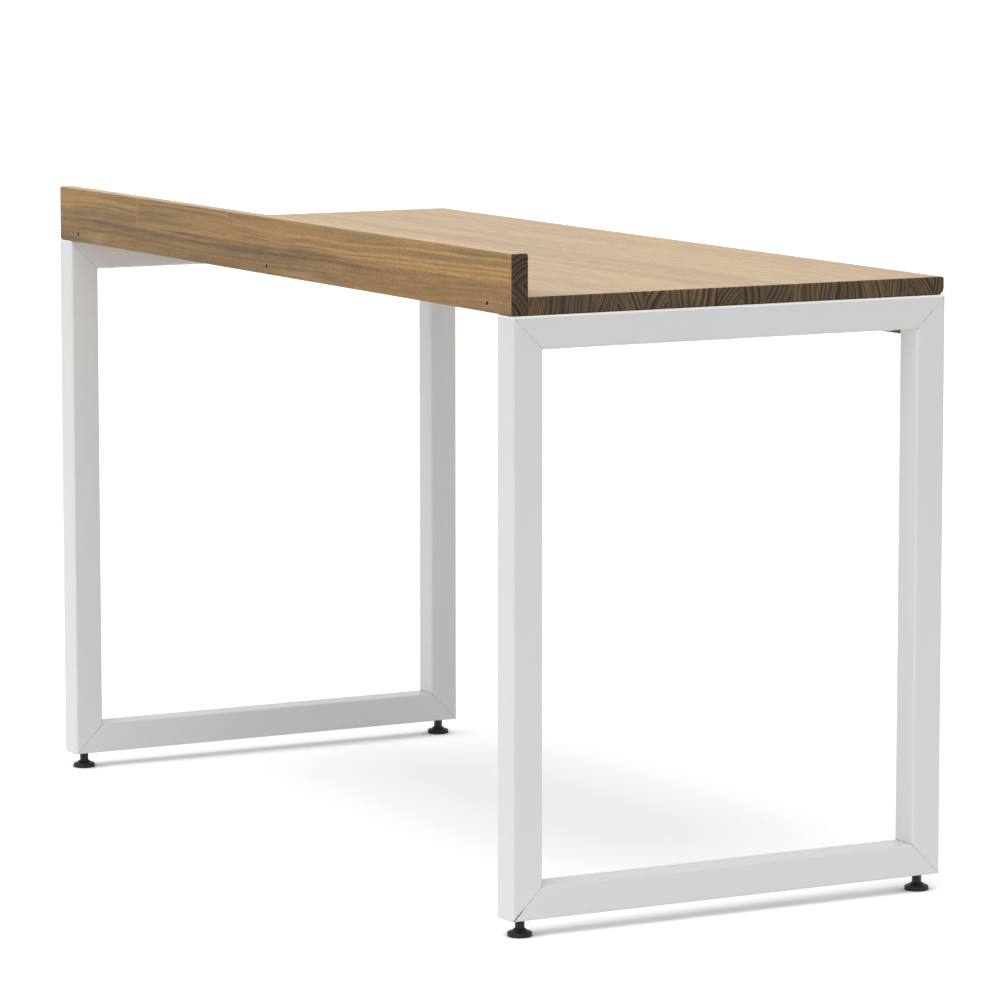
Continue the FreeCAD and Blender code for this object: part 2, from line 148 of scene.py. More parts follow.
pit = ease(tree, calculate(tree, "ADD", to_corner, to_side), *PIT_REACH, 1, 0)
rust_reach = steer(tree, "DISTANCE", place_in(tree), (frame_low.x, frame_high.y, frame_low.z))
inside_arris = ease(tree, calculate(tree, "SUBTRACT", frame_high.y, across), *RUST_INSET)
near_rust = calculate(tree, "MULTIPLY", ease(tree, rust_reach, *RUST_REACH, 1, 0), inside_arris)
rust_width = ease(tree, noise(tree, place_in(tree), 420, 3), 0.35, 0.65, *RUST_WIDTHS)
rusty = ease(tree, calculate(tree, "DIVIDE", to_seam, rust_width), 0.5, 1.2, 1, 0)
rust = calculate(tree, "MULTIPLY", near_rust, rusty)
cloudy = noise(tree, place_in(tree), 6, 3)
coat = mix(tree, cloudy, *COAT_TONES)
hair_mark, pit_mark = calculate(tree, "MULTIPLY", hairline, 0.6), calculate(tree, "MULTIPLY", pit, 0.5)
# Painted highlight: the coat turns near white in the top millimetres of the frames.
painted_highlight = ease(tree, up, *(frame_high.z - depth for depth in HIGHLIGHT_DEPTH))
coat = mix(tree, painted_highlight, coat, HIGHLIGHT_WHITE)
coat = mix(tree, calculate(tree, "MAXIMUM", hair_mark, pit_mark), coat, SEAM_DARK)
coat = mix(tree, calculate(tree, "MULTIPLY", rust, 0.85), coat, RUST_BROWN)
peel = noise(tree, place_in(tree), 420, 2)
height = calculate(tree, "SUBTRACT", calculate(tree, "MULTIPLY", peel, 0.2), hairline)
feed(
    tree,
    shader,
    Base_Color=coat,
    Roughness=ease(tree, cloudy, 0.2, 0.8, 0.29, 0.36),
    Normal=bump(tree, height, 0.0002, 0.5),
)
for side in ("left", "right"):
    for piece in ("front_leg", "rear_leg", "top_rail", "bottom_rail"):
        cover(f"{side}_frame_{piece}", white_paint)


# Levelling feet: a moulded black pad and hexagonal collar on a zinc-plated M8 screw.
# The screw has a rolled thread, a plain neck through the pad and a riveted end under it,
# and turns in a nut welded inside the rail.
PLASTIC_TONES = (0.0095, 0.0097, 0.0085, 1), (0.021, 0.021, 0.018, 1)
ZINC_TONES = (0.66, 0.66, 0.65, 1), (0.47, 0.46, 0.43, 1)
black_plastic, tree, shader = new_material("black_plastic")
shader.inputs["Specular IOR Level"].default_value = 0.28
grit = noise(tree, place_in(tree), 900, 3)
wear = noise(tree, place_in(tree), 160, 4, 0.65)
feed(
    tree,
    shader,
    Base_Color=mix(tree, ease(tree, wear, 0.45, 0.75), *PLASTIC_TONES),
    Roughness=ease(tree, wear, 0.3, 0.7, 0.36, 0.55),
    Normal=bump(tree, grit, 0.00006, 0.5),
)

zinc_plate, tree, shader = new_material("zinc_plate")
shader.inputs["Metallic"].default_value = 1.0
tarnish = noise(tree, place_in(tree), 260, 4, 0.6)
feed(
    tree,
    shader,
    Base_Color=mix(tree, ease(tree, tarnish, 0.35, 0.7), *ZINC_TONES),
    Roughness=ease(tree, tarnish, 0.3, 0.7, 0.24, 0.42),
)


def start_piece():
    """Leaves edit mode and deselects everything, ready for a new piece."""
    if bpy.context.object and bpy.context.object.mode == "EDIT":
        bpy.ops.object.mode_set(mode="OBJECT")
    bpy.ops.object.select_all(action="DESELECT")


def pick(piece, test, kind="FACE"):
    """Enters edit mode with the faces, edges or points selected that pass a test on their place."""
    bpy.ops.object.mode_set(mode="EDIT")
    bpy.ops.mesh.select_mode(type=kind)
    bpy.ops.mesh.select_all(action="DESELECT")
    bpy.ops.object.mode_set(mode="OBJECT")
    points = piece.data.vertices
    places = {
        "FACE": [(face, face.center) for face in piece.data.polygons],
        "EDGE": [(e, (points[e.vertices[0]].co + points[e.vertices[1]].co) / 2) for e in piece.data.edges],
        "VERT": [(point, point.co) for point in points],
    }[kind]
    for element, place in places:
        element.select = test(place)
    bpy.ops.object.mode_set(mode="EDIT")


def settle(piece):
    """Puts the place of a piece in its mesh, with its object at the origin."""
    start_piece()
    piece.select_set(True)
    bpy.context.view_layer.objects.active = piece
    bpy.ops.object.transform_apply(location=True, rotation=True, scale=True)


def combine(piece, tool, operation):
    """Joins, cuts or trims a piece with another, which is used up."""
    start_piece()
    piece.select_set(True)
    bpy.context.view_layer.objects.active = piece
    modifier = piece.modifiers.new(operation.lower(), "BOOLEAN")
    modifier.operation = operation
    modifier.solver = "EXACT"
    modifier.object = tool
    bpy.ops.object.modifier_apply(modifier=modifier.name)
    bpy.data.objects.remove(tool, do_unlink=True)


def cylinder(radius, low, high, sides=48):
    start_piece()
    bpy.ops.mesh.primitive_cylinder_add(
        vertices=sides, radius=radius, depth=high - low, location=(0, 0, (low + high) / 2)
    )
    piece = bpy.context.object
    settle(piece)
    return piece


def threaded_rod(crest, root, pitch, low, high, crest_flat=0.125, root_flat=0.25):
    """Rod with a right-hand thread, standing on the origin's axis, closed at both ends."""
    start_piece()
    bpy.ops.mesh.primitive_plane_add(size=pitch, location=(0, 0, 0))
    rod = bpy.context.object
    flank = (1 - crest_flat - root_flat) / 2 * pitch
    pick(rod, lambda place: place.x < 0 or place.y < 0, "VERT")
    bpy.ops.mesh.delete(type="VERT")
    bpy.ops.object.mode_set(mode="OBJECT")
    rod.data.vertices[0].co = (root, 0, low - 2 * pitch)
    bpy.ops.object.mode_set(mode="EDIT")
    bpy.ops.mesh.select_all(action="SELECT")
    depth = crest - root
    for out, rise in ((0, root_flat * pitch), (depth, flank), (0, crest_flat * pitch), (-depth, flank)):
        bpy.ops.mesh.extrude_region_move(TRANSFORM_OT_translate={"value": (out, 0, rise)})
    bpy.ops.object.mode_set(mode="OBJECT")
    winding = rod.modifiers.new("winding", "SCREW")
    winding.axis = "Z"
    winding.angle = math.tau
    winding.screw_offset = pitch
    winding.steps = winding.render_steps = 24
    winding.iterations = math.ceil((high - low) / pitch) + 4
    winding.use_merge_vertices = False
    bpy.ops.object.modifier_apply(modifier=winding.name)
    bpy.ops.object.mode_set(mode="EDIT")
    bpy.ops.mesh.select_all(action="SELECT")
    bpy.ops.mesh.remove_doubles(threshold=pitch * 0.01)
    for end, normal in ((low, -1), (high, 1)):
        bpy.ops.mesh.select_all(action="SELECT")
        # A cut with the usual threshold of 0.1 mm can leave the end open.
        bpy.ops.mesh.bisect(
            plane_co=(0, 0, end), plane_no=(0, 0, normal), use_fill=True, clear_outer=True, threshold=EXACT_CUT
        )
    bpy.ops.mesh.select_all(action="SELECT")
    bpy.ops.mesh.normals_make_consistent(inside=False)
    bpy.ops.object.mode_set(mode="OBJECT")
    return rod


def smooth(piece, angle=35):
    start_piece()
    piece.select_set(True)
    bpy.context.view_layer.objects.active = piece
    bpy.ops.object.shade_smooth_by_angle(angle=math.radians(angle))


def copy_to(pattern, name, turn, move):
    """A copy of a piece with its own mesh, turned and moved to its place."""
    piece = bpy.data.objects.new(name, pattern.data.copy())
    bpy.context.scene.collection.objects.link(piece)
    piece.data.transform(Matrix.Translation(move) @ turn)
    return piece


TOUCH, OVERLAP, TRIM, EXACT_CUT = 1e-6, 0.001, 0.0001, 1e-7
THREAD_CREST, THREAD_ROOT, THREAD_PITCH, THREAD_BEVEL = 0.00395, 0.00318, 0.00125, 0.0009
NECK_RADIUS, RIVET_RADIUS, RIVET_HEIGHT, RIVET_ROUND, SEAT = 0.0030, 0.0050, 0.0020, 0.0006, 0.0061
stud_low, stud_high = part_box("front_left_foot_stud")
stem = threaded_rod(THREAD_CREST, THREAD_ROOT, THREAD_PITCH, SEAT - OVERLAP, stud_high.z + OVERLAP)
blank = cylinder(THREAD_CREST + TRIM, SEAT, stud_high.z)
pick(blank, lambda place: place.z > stud_high.z - TOUCH, "EDGE")
bpy.ops.mesh.bevel(offset=THREAD_BEVEL, segments=1)
bpy.ops.object.mode_set(mode="OBJECT")
combine(stem, blank, "INTERSECT")
neck = cylinder(RIVET_RADIUS, stud_low.z, stud_low.z + RIVET_HEIGHT)
pick(neck, lambda place: place.z > stud_low.z + RIVET_HEIGHT - TOUCH)
bpy.ops.mesh.inset(thickness=RIVET_RADIUS - NECK_RADIUS)
neck_height = SEAT + OVERLAP - stud_low.z - RIVET_HEIGHT
bpy.ops.mesh.extrude_region_move(TRANSFORM_OT_translate={"value": (0, 0, neck_height)})
pick(neck, lambda place: place.z < stud_low.z + TOUCH, "EDGE")
bpy.ops.mesh.bevel(offset=RIVET_ROUND, segments=3)
bpy.ops.object.mode_set(mode="OBJECT")
combine(stem, neck, "UNION")
stem.data.materials.append(zinc_plate)
smooth(stem, 30)
for end in ("front", "rear"):
    for side in ("left", "right"):
        foot = f"{end}_{side}"
        for piece in ("pad", "collar"):
            cover(f"{foot}_foot_{piece}", black_plastic)
        cover(f"{foot}_foot_nut", zinc_plate)
        low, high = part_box(f"{foot}_foot_stud")
        middle = (low + high) / 2
        screw = copy_to(stem, f"{foot}_foot_screw", Matrix.Identity(4), (middle.x, middle.y, 0))
        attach(screw, f"{foot}_stem")
        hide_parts(f"{foot}_foot_stud")
bpy.data.objects.remove(stem, do_unlink=True)


# Screws: zinc-plated wood screws with a cross recess. Pan heads come up through the rails,
# deep-set ones hold the front batten, and three narrow heads are sunk in the back of the upstand.
def cross_recess(head, width, thickness, depth, top):
    """Cuts a driver's cross into the flat of a head that faces down."""
    for turn in (0, 90):
        start_piece()
        bpy.ops.mesh.primitive_cube_add(size=1, location=(0, 0, top + depth / 2 - OVERLAP / 2))
        blade = bpy.context.object
        blade.scale = (width, thickness, depth + OVERLAP)
        blade.rotation_euler.z = math.radians(turn)
        settle(blade)
        pick(blade, lambda place: place.z > top + depth - TOUCH)
        bpy.ops.transform.resize(value=(0.45, 0.45, 1), center_override=(0, 0, top + depth))
        bpy.ops.object.mode_set(mode="OBJECT")
        combine(head, blade, "DIFFERENCE")


def wood_screw(head_radius, head_height, rim_round, shank_radius, length, point, pitch, recess):
    """Screw standing head down on the origin, its head's seat at zero."""
    root = shank_radius * 0.68
    low, high = -4 * TRIM, length + OVERLAP
    shank = threaded_rod(shank_radius, root, pitch, low, high, crest_flat=0.06, root_flat=0.3)
    blank = cylinder(shank_radius + TRIM, -2 * TRIM, length - point)
    pick(blank, lambda place: place.z > length - point - TOUCH)
    bpy.ops.mesh.extrude_region_move(TRANSFORM_OT_translate={"value": (0, 0, point)})
    bpy.ops.transform.resize(value=(0.06, 0.06, 1), center_override=(0, 0, length))
    bpy.ops.object.mode_set(mode="OBJECT")
    combine(shank, blank, "INTERSECT")
    head = cylinder(head_radius, -head_height, 0)
    pick(head, lambda place: place.z < -head_height + TOUCH, "EDGE")
    bpy.ops.mesh.bevel(offset=rim_round, segments=5)
    bpy.ops.object.mode_set(mode="OBJECT")
    combine(head, shank, "UNION")
    cross_recess(head, *recess, -head_height)
    head.data.materials.append(zinc_plate)
    smooth(head, 30)
    return head


def drive_screws(pattern, node, count, turn, along, head_radius, seat):
    """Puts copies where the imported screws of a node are, spaced evenly along one axis.

    The seat is the axis that the screws point along, and the place of their heads on it.
    """
    low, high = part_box(node)
    first, last = low[along] + head_radius, high[along] - head_radius
    for number in range(count):
        move = (low + high) / 2
        move[along] = first + (last - first) * number / (count - 1)
        move[seat[0]] = seat[1]
        screw = copy_to(pattern, f"{node[:-1]}_{number + 1}", turn, move)
        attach(screw, "desk")
        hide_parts(node)


X, Y, Z = range(3)
SCREW_POINT = 0.004
pan_low, pan_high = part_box("left_rail_screws")
rail_under = frame_high.z - tube
pan_radius = (pan_high.x - pan_low.x) / 2
pan_height = rail_under - pan_low.z
pan_screw = wood_screw(
    pan_radius,
    pan_height,
    rim_round=0.0013,
    shank_radius=0.0025,
    length=pan_high.z - rail_under,
    point=SCREW_POINT,
    pitch=0.0022,
    recess=(0.0050, 0.0011, 0.0016),
)
for side in ("left", "right"):
    drive_screws(pan_screw, f"{side}_rail_screws", 3, Matrix.Identity(4), Y, pan_radius, (Z, rail_under))
bpy.data.objects.remove(pan_screw, do_unlink=True)

BATTEN_HEAD = 0.0026
sunk_low, sunk_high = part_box("batten_screws")
sunk_radius = (sunk_high.y - sunk_low.y) / 2
sunk_length = sunk_high.z - sunk_low.z - BATTEN_HEAD
batten_screw = wood_screw(
    sunk_radius,
    BATTEN_HEAD,
    rim_round=0.0006,
    shank_radius=0.0020,
    length=sunk_length,
    point=SCREW_POINT,
    pitch=0.0018,
    recess=(0.0044, 0.0010, 0.0018),
)
sunk_seat = (Z, sunk_low.z + BATTEN_HEAD)
drive_screws(batten_screw, "batten_screws", 4, Matrix.Identity(4), X, sunk_radius, sunk_seat)
bpy.data.objects.remove(batten_screw, do_unlink=True)

UPSTAND_HEAD = 0.0030
back_low, back_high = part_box("upstand_screws")
back_radius = (back_high.z - back_low.z) / 2
back_length = back_high.y - back_low.y - UPSTAND_HEAD
upstand_screw = wood_screw(
    back_radius,
    UPSTAND_HEAD,
    rim_round=0.0004,
    shank_radius=0.00175,
    length=back_length,
    point=SCREW_POINT,
    pitch=0.0016,
    recess=(0.0029, 0.0008, 0.0016),
)
into_rear = Matrix.Rotation(math.radians(90), 4, "X")
back_seat = (Y, back_high.y - UPSTAND_HEAD)
drive_screws(upstand_screw, "upstand_screws", 3, into_rear, X, back_radius, back_seat)
bpy.data.objects.remove(upstand_screw, do_unlink=True)


# Wood: pine staves glued side by side, each finger-jointed from shorter lengths, sanded, stained
# greyish brown and waxed. Every stave was cut from another part of a log, so its rings run their
# own way. The open end grain has soaked up more stain. The upper faces are painted paler, a painted sheen of
# the wax.
grain = bpy.data.node_groups.new("pine_grain", "ShaderNodeTree")
GRAIN_INPUTS = {
    "Pith": "Vector", "Knot": "Vector", "Joints": "Vector", "Ring Width": "Float", "Seed": "Float"
}
for name, kind in GRAIN_INPUTS.items():
    grain.interface.new_socket(name, in_out="INPUT", socket_type=f"NodeSocket{kind}")
GRAIN_SIGNS = (
    "Late Wood", "Late Line", "Ring Tone", "Stain", "Streak", "Fibre", "Pores", "Knot Heart", "Glue Line"
)
for name in GRAIN_SIGNS:
    grain.interface.new_socket(name, in_out="OUTPUT", socket_type="NodeSocketFloat")
given = grain.nodes.new("NodeGroupInput").outputs
spot = add_node(grain, "ShaderNodeSeparateXYZ", {0: place_in(grain)}).outputs
joints = add_node(grain, "ShaderNodeSeparateXYZ", {0: given["Joints"]}).outputs
past_first = calculate(grain, "SUBTRACT", joints["X"], spot["X"])
past_second = calculate(grain, "SUBTRACT", joints["Y"], spot["X"])
in_second = calculate(grain, "GREATER_THAN", past_first, 0)
in_third = calculate(grain, "GREATER_THAN", past_second, 0)
length_number = calculate(grain, "ADD", in_second, in_third)
to_first, to_second = calculate(grain, "ABSOLUTE", past_first), calculate(grain, "ABSOLUTE", past_second)
to_glue = calculate(grain, "MINIMUM", to_first, to_second)
glue_line = ease(grain, to_glue, 0.0010, 0.0055, 1, 0)
own_seed = calculate(grain, "MULTIPLY_ADD", length_number, 5.31, given["Seed"])
along_seed, up_seed = calculate(grain, "MULTIPLY", own_seed, 3.7), calculate(grain, "MULTIPLY", own_seed, 1.9)
seeded = add_node(grain, "ShaderNodeCombineXYZ", {0: along_seed, 1: own_seed, 2: up_seed}).outputs[0]


def log_noise(scale, detail, rough=0.5):
    """Noise stretched along the log, different in every length of every stave."""
    moved = steer(grain, "ADD", place_in(grain, scale), seeded)
    inputs = {"Vector": moved, "Scale": 1, "Detail": detail, "Roughness": rough}
    return add_node(grain, "ShaderNodeTexNoise", inputs)


def sway(scale, detail, reach):
    """Shifts the rings sideways by up to half the reach."""
    centred = steer(grain, "SUBTRACT", log_noise(scale, detail).outputs["Color"], (0.5, 0.5, 0.5))
    return steer(grain, "MULTIPLY", centred, (0, reach, reach))


section = steer(grain, "MULTIPLY", place_in(grain), (0, 1, 1))
wander = steer(grain, "ADD", sway((1.1, 7, 7), 1, 0.034), sway((4.5, 30, 30), 1, 0.0075))
bent = steer(grain, "ADD", section, wander)
from_knot = steer(grain, "SUBTRACT", place_in(grain), given["Knot"])
knot_reach = steer(grain, "DISTANCE", steer(grain, "MULTIPLY", from_knot, (18, 58, 58)), (0, 0, 0))
knot_spread = calculate(grain, "POWER", knot_reach, 2)
near_knot = calculate(grain, "EXPONENT", calculate(grain, "MULTIPLY", knot_spread, -1))
knot_heart = calculate(grain, "EXPONENT", calculate(grain, "MULTIPLY", knot_spread, -7))
pushing = {0: from_knot, "Scale": calculate(grain, "MULTIPLY", near_knot, 0.8)}
push = add_node(grain, "ShaderNodeVectorMath", pushing, operation="SCALE").outputs[0]
round_knot = steer(grain, "SUBTRACT", bent, steer(grain, "MULTIPLY", push, (0, 1, 1)))
from_pith = steer(grain, "DISTANCE", round_knot, steer(grain, "MULTIPLY", given["Pith"], (0, 1, 1)))
even_age = calculate(grain, "DIVIDE", from_pith, given["Ring Width"])
seasons = add_node(
    grain,
    "ShaderNodeTexNoise",
    {"W": calculate(grain, "MULTIPLY_ADD", even_age, 0.55, own_seed), "Scale": 1, "Detail": 1},
    noise_dimensions="1D",
)
age = calculate(grain, "MULTIPLY_ADD", seasons.outputs["Fac"], 1.3, even_age)
season = calculate(grain, "FRACT", age)
year = calculate(grain, "MULTIPLY_ADD", own_seed, 11.3, calculate(grain, "FLOOR", age))
ring_tone = add_node(grain, "ShaderNodeTexWhiteNoise", {"W": year}, noise_dimensions="1D").outputs["Value"]
late_wood = ease(grain, calculate(grain, "PINGPONG", age, 0.5), 0.06, 0.46)
autumn, winter = ease(grain, season, 0.28, 0.80), ease(grain, season, 0.89, 1.0, 1, 0)
late_line = calculate(grain, "MULTIPLY", autumn, winter)
signs = (
    late_wood,
    late_line,
    ring_tone,
    log_noise((2.0, 27, 27), 3, 0.5).outputs["Fac"],
    log_noise((7, 130, 130), 3, 0.55).outputs["Fac"],
    log_noise((24, 430, 430), 3, 0.6).outputs["Fac"],
    log_noise((270, 620, 620), 1).outputs["Fac"],
    knot_heart,
    glue_line,
)
told = grain.nodes.new("NodeGroupOutput").inputs
for name, output in zip(GRAIN_SIGNS, signs):
    grain.links.new(output, told[name])

BARE_TONES = {
    "pale": (0.358, 0.211, 0.087), "orange": (0.462, 0.250, 0.082), "grey": (0.228, 0.148, 0.075)
}
# Paler tones for faces that point up: a painted sheen.
PAINTED_SHEEN_TONES = {
    "pale": (0.602, 0.446, 0.276), "orange": (0.606, 0.402, 0.228), "grey": (0.500, 0.378, 0.254)
}
END_TONES = {
    "pale": (0.122, 0.086, 0.0525),
    "tan": (0.172, 0.112, 0.063),
    "late": (0.029, 0.0180, 0.0100),
    "brown": (0.122, 0.070, 0.037),
}
NOWHERE = (9, 9, 9)


def pine(
    name, pith, ring_width, seed, light, greyness, end_light, tan, knot=NOWHERE, joints=NOWHERE, marks=()
):
    """Stained pine for one stave, with the middle of its rings at a place in its cross-section.

    A mark tints a patch: its place along and up, its reach both ways, its tint and how strong it is.
    """
    material, tree, shader = new_material(name)
    shader.inputs["Specular IOR Level"].default_value = 0.2
    group = add_node(tree, "ShaderNodeGroup", node_tree=grain)
    for socket, value in zip(GRAIN_INPUTS, ((0, *pith), knot, joints, ring_width, seed)):
        group.inputs[socket].default_value = value
    sign = group.outputs

    def tone(colour, strength):
        return (*(part * strength for part in colour), 1)

    streaks = calculate(tree, "MULTIPLY", sign["Streak"], 0.2)
    blotch = calculate(tree, "MULTIPLY_ADD", sign["Stain"], 0.8, streaks)
    shift = 0.22 * (greyness - 0.5)
    grey_share = ease(tree, blotch, 0.40 + shift, 0.60 + shift, 1, 0)
    ring_share = ease(tree, sign["Ring Tone"], 0, 1, 0.16, 1.0 - 0.3 * greyness)
    orange_share = calculate(tree, "MULTIPLY", sign["Late Wood"], ring_share)
    for warm, most in (("Knot Heart", 0.7), ("Glue Line", 0.5)):
        orange_share = calculate(tree, "MAXIMUM", orange_share, calculate(tree, "MULTIPLY", sign[warm], most))

    def stained(tones):
        colour = mix(tree, grey_share, tone(tones["pale"], light), tone(tones["grey"], light))
        return mix(tree, orange_share, colour, tone(tones["orange"], light))

    normal = add_node(tree, "ShaderNodeTexCoord").outputs["Normal"]
    facing = add_node(tree, "ShaderNodeSeparateXYZ", {0: normal}).outputs
    # Faces that point up take the paler tones, a painted sheen of the wax.
    face = mix(tree, ease(tree, facing["Z"], 0.80, 0.97), stained(BARE_TONES), stained(PAINTED_SHEEN_TONES))
    lines = ease(tree, sign["Fibre"], 0.32, 0.68, 1.06, 0.91)
    pores = ease(tree, sign["Pores"], 0.32, 0.68, 1.07, 0.90)
    face = mix(tree, 1.0, face, calculate(tree, "MULTIPLY", lines, pores), "MULTIPLY")
    ragged = calculate(tree, "MULTIPLY_ADD", blotch, 2.4, -1.2)
    for x, z, length, height, tint, share in marks:
        away = steer(tree, "SUBTRACT", place_in(tree), (x, 0, z))
        away = steer(tree, "MULTIPLY", away, (1 / length, 0, 1 / height))
        reach = calculate(tree, "ADD", steer(tree, "DISTANCE", away, (0, 0, 0)), ragged)
        face = mix(tree, ease(tree, reach, 0.2, 1.2, share, 0), face, (*tint, 1), "MULTIPLY")
    tan_share = ease(tree, blotch, 0.62 - 0.2 * tan, 0.72 - 0.2 * tan)
    sawn = mix(tree, tan_share, tone(END_TONES["pale"], end_light), tone(END_TONES["tan"], end_light))
    ring_brown = ease(tree, sign["Ring Tone"], 0, 1, 0.55, 0.15)
    ring_dark = ease(tree, sign["Ring Tone"], 0, 1, 0.45, 0.95)
    brown_share = calculate(tree, "MULTIPLY", sign["Late Wood"], ring_brown)
    late_share = calculate(tree, "MULTIPLY", sign["Late Line"], ring_dark)
    sawn = mix(tree, brown_share, sawn, tone(END_TONES["brown"], end_light))
    sawn = mix(tree, late_share, sawn, tone(END_TONES["late"], end_light))
    end = ease(tree, calculate(tree, "ABSOLUTE", facing["X"]), 0.10, 0.35)
    fibres = calculate(tree, "MULTIPLY", sign["Fibre"], 0.65)
    ridges = calculate(tree, "MULTIPLY_ADD", sign["Late Wood"], 0.35, fibres)
    rough = ease(tree, sign["Fibre"], 0.3, 0.7, 0.48, 0.62)
    feed(
        tree,
        shader,
        Base_Color=mix(tree, end, face, sawn),
        Roughness=calculate(tree, "MULTIPLY_ADD", end, 0.2, rough),
        Normal=bump(tree, ridges, 0.00016, 0.6),
    )
    return material


# Top board: staves, rear to front, the first and last trimmed narrow. Each row has the middle of
# its rings from the middle of the stave (rearwards, upwards) and the width of a ring, all in
# millimetres, then how light and how grey it is, how light its end, and how much tan the end shows.
TOP_STAVES = (
    (-115, -35, 3.8, 1.02, 0.4, 1.05, 0.9),
    (150, 4, 7.0, 0.97, 0.5, 0.95, 0.2),
    (-138, -19, 6.5, 1.00, 0.4, 0.98, 0.3),
    (103, 38, 3.9, 1.02, 0.3, 1.05, 0.7),
    (103, -39, 6.5, 0.98, 0.4, 1.00, 0.6),
    (-71, -55, 8.5, 1.02, 0.4, 1.00, 0.4),
    (150, 0, 8.0, 1.00, 0.3, 1.02, 0.7),
    (-127, -27, 10.5, 1.03, 0.4, 1.05, 0.8),
    (-57, -57, 5.0, 0.97, 0.5, 0.94, 0.3),
    (150, 3, 10.5, 1.00, 0.4, 0.98, 0.4),
    (62, 36, 6.0, 0.97, 0.4, 0.94, 0.2),
    (-160, 0, 9.0, 1.03, 0.3, 1.05, 0.9),
    (160, 5, 6.5, 1.00, 0.4, 1.00, 0.6),
    (130, -18, 6.0, 1.02, 0.4, 1.02, 0.5),
    (100, -34, 10.5, 1.00, 0.3, 1.04, 0.8),
    (130, 18, 5.5, 0.98, 0.4, 0.98, 0.5),
    (75, -50, 6.5, 1.01, 0.5, 0.98, 0.3),
    (100, 36, 5.0, 1.00, 0.4, 1.00, 0.4),
)
for number, (rearwards, upwards, ring, light, greyness, end_light, tan) in enumerate(TOP_STAVES, start=1):
    node = f"top_stave_{number:02d}"
    low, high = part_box(node)
    middle = (low + high) / 2
    pith = (middle.y + rearwards / 1000, middle.z + upwards / 1000)
    joints = (high.x * math.cos(number * 2.4), high.x * math.cos(number * 2.4 + 1.9), 0)
    seed = number * 1.37
    stave_pine = pine(
        f"pine_{node}", pith, ring / 1000, seed, light, greyness, end_light, tan, joints=joints
    )
    cover(node, stave_pine)


# Upstand: two staves glued one on the other and screwed to the rear edge of the board.
# The upper one is finger-jointed twice. The stain took unevenly, with grey patches, and there are
# pale rims round the screw holes and worn patches above the lower edge.
screw_height = (back_low.z + back_high.z) / 2
screw_reach = back_high.x - back_radius
GREY_TINT, WORN_TINT, WARM_TINT = (0.62, 0.66, 0.75), (1.35, 1.45, 1.70), (1.22, 1.20, 1.08)
PATCHES = (
    (-0.45, 0.792, 0.42, 0.026, WARM_TINT, 0.80),
    (0.60, 0.786, 0.14, 0.010, WARM_TINT, 0.5),
    (0.20, 0.750, 0.95, 0.026, GREY_TINT, 0.32),
    (-0.03, 0.769, 0.24, 0.014, GREY_TINT, 0.60),
    (0.29, 0.784, 0.13, 0.010, GREY_TINT, 0.85),
    (0.15, 0.783, 0.18, 0.012, GREY_TINT, 0.45),
    (0.03, 0.781, 0.07, 0.008, GREY_TINT, 0.6),
    (0.525, 0.7480, 0.062, 0.0085, WORN_TINT, 1.0),
    (-0.09, 0.7445, 0.095, 0.0060, WORN_TINT, 1.0),
)
RIMS = tuple((side * screw_reach, screw_height, 0.0048, 0.0048, WORN_TINT, 0.4) for side in (-1, 0, 1))
UPSTAND_CUT = {"ring_width": 0.0065, "seed": 35.8, "end_light": 0.74, "tan": 0.1}
FINGER_JOINTS = (0.393, 0.117, 0)
low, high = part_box("upstand_upper_stave")
pith = ((low.y + high.y) / 2 - 0.034, (low.z + high.z) / 2 - 0.073)
UPSTAND_CUT["knot"] = (-0.040, high.y, (low.z + high.z) / 2 + 0.003)
upper_pine = pine(
    "pine_upstand_upper_stave",
    pith,
    light=1.04,
    greyness=0.40,
    joints=FINGER_JOINTS,
    marks=PATCHES,
    **UPSTAND_CUT,
)
cover("upstand_upper_stave", upper_pine)
low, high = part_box("upstand_lower_stave")
pith = ((low.y + high.y) / 2 + 0.046, (low.z + high.z) / 2 - 0.048)
lower_pine = pine(
    "pine_upstand_lower_stave", pith, light=0.84, greyness=0.50, marks=PATCHES + RIMS, **UPSTAND_CUT
)
cover("upstand_lower_stave", lower_pine)


# Front batten: one more length of the same pine, screwed under the board a little behind its front
# edge to stiffen it between the frames. Its pine is painted darker and greyer, a painted shade under the
# board.
low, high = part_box("front_batten")
pith = ((low.y + high.y) / 2 + 0.090, (low.z + high.z) / 2 - 0.020)
# Low light and high greyness paint the shade under the board into the batten's colour.
batten_pine_painted_shade = pine(
    "pine_front_batten_painted_shade", pith, ring_width=0.0048, seed=57.0, light=0.56, greyness=0.9, end_light=0.72, tan=0.1
)
cover("front_batten", batten_pine_painted_shade)


# Studio: a white floor under a white sky, a broad light overhead and a weaker one behind the desk.
# The floor throws back less light beyond the sheet that the desk stands on. For the camera it glows
# a little, except close under a piece, where the missing glow paints a darker contact shadow, and from below
# the camera sees through it.
FLOOR_RADIUS, SHEET_REACH = 120, (1.2, 2.2)
FLOOR_WHITE, FLOOR_BEYOND = (0.962, 0.972, 0.980, 1), (0.66, 0.67, 0.68, 1)
GLOW, GLOW_TINT, GLOW_CLEARANCE = 0.365, (0.952, 0.982, 1, 1), 0.033
SKY_LIGHT, SKY_SEEN = 0.455, 1.0
start_piece()
bpy.ops.mesh.primitive_circle_add(vertices=96, radius=FLOOR_RADIUS, fill_type="NGON", location=(0, 0, 0))
floor = bpy.context.object
floor.name = "floor"
floor_paint, tree, shader = new_material("floor_paint")
shader.inputs["Roughness"].default_value = 0.9
shader.inputs["Specular IOR Level"].default_value = 0.0


def seen_directly(tree):
    """Returns 1 for rays from the camera, mirrored or not, and 0 for others, and the ray's outputs."""
    ray = add_node(tree, "ShaderNodeLightPath").outputs
    mirrored = calculate(tree, "MAXIMUM", ray["Is Glossy Ray"], ray["Is Transmission Ray"])
    return calculate(tree, "MAXIMUM", ray["Is Camera Ray"], mirrored), ray


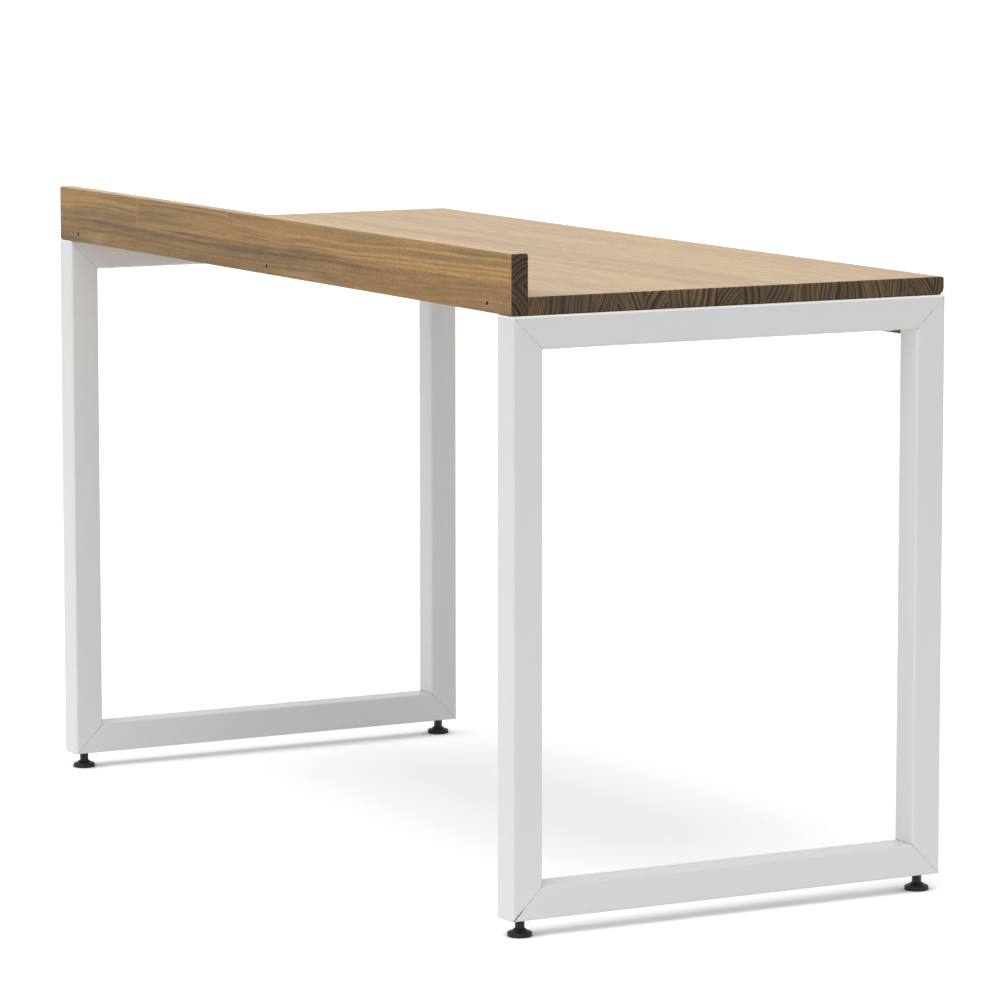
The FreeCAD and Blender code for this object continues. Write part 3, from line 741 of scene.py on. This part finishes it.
seen, ray = seen_directly(tree)
sheet_end = ease(tree, steer(tree, "DISTANCE", place_in(tree), (0, 0, 0)), *SHEET_REACH)
dimmed = calculate(tree, "MULTIPLY", sheet_end, ray["Is Diffuse Ray"])
feed(tree, shader, Base_Color=mix(tree, dimmed, FLOOR_WHITE, FLOOR_BEYOND))
# Ambient occlusion cuts the glow close under pieces, which paints a darker contact shadow on the floor.
open_above = add_node(tree, "ShaderNodeAmbientOcclusion", {"Distance": GLOW_CLEARANCE}).outputs["AO"]
open_above = ease(tree, open_above, 0.10, 1.0)
glow_strength = calculate(tree, "MULTIPLY", calculate(tree, "MULTIPLY", seen, GLOW), open_above)
glow = add_node(tree, "ShaderNodeEmission", {"Color": GLOW_TINT, "Strength": glow_strength}).outputs[0]
white = add_node(tree, "ShaderNodeAddShader", {0: shader.outputs[0], 1: glow}).outputs[0]
from_below = add_node(tree, "ShaderNodeNewGeometry").outputs["Backfacing"]
through = add_node(tree, "ShaderNodeBsdfTransparent").outputs[0]
hidden = calculate(tree, "MULTIPLY", from_below, ray["Is Camera Ray"])
seen_floor = add_node(tree, "ShaderNodeMixShader", {0: hidden, 1: white, 2: through}).outputs[0]
tree.links.new(seen_floor, tree.nodes["Material Output"].inputs["Surface"])
floor.data.materials.append(floor_paint)

world = bpy.data.worlds.new("studio")
bpy.context.scene.world = world
world.use_nodes = True
sky = world.node_tree.nodes["Background"]
sky.inputs["Color"].default_value = (1, 1, 1, 1)
seen, ray = seen_directly(world.node_tree)
strength = ease(world.node_tree, seen, 0, 1, SKY_LIGHT, SKY_SEEN)
world.node_tree.links.new(strength, sky.inputs["Strength"])

LAMPS = (("overhead", 1.58, 56, (-14, -9, 0)), ("rear_fill", 0.68, 60, (-76, 0, 24)))
for name, energy, width, turns in LAMPS:
    bpy.ops.object.light_add(type="SUN", location=(0, 1, 4))
    lamp = bpy.context.object
    lamp.name = name
    lamp.data.energy = energy
    lamp.data.angle = math.radians(width)
    lamp.rotation_euler = [math.radians(turn) for turn in turns]

CAMERA_PLACE, YAW, PITCH = (-5.836861, 3.153234, 1.300222), -0.5003222, -0.1303757
bpy.ops.object.camera_add(location=CAMERA_PLACE)
camera = bpy.context.object
ahead = Vector((math.cos(YAW) * math.cos(PITCH), math.sin(YAW) * math.cos(PITCH), math.sin(PITCH)))
camera.rotation_euler = ahead.to_track_quat("-Z", "Y").to_euler()
camera.data.sensor_width = 36
camera.data.lens = 184.438
camera.data.clip_end = 400
bpy.context.scene.camera = camera
bpy.context.scene.view_settings.view_transform = "Standard"
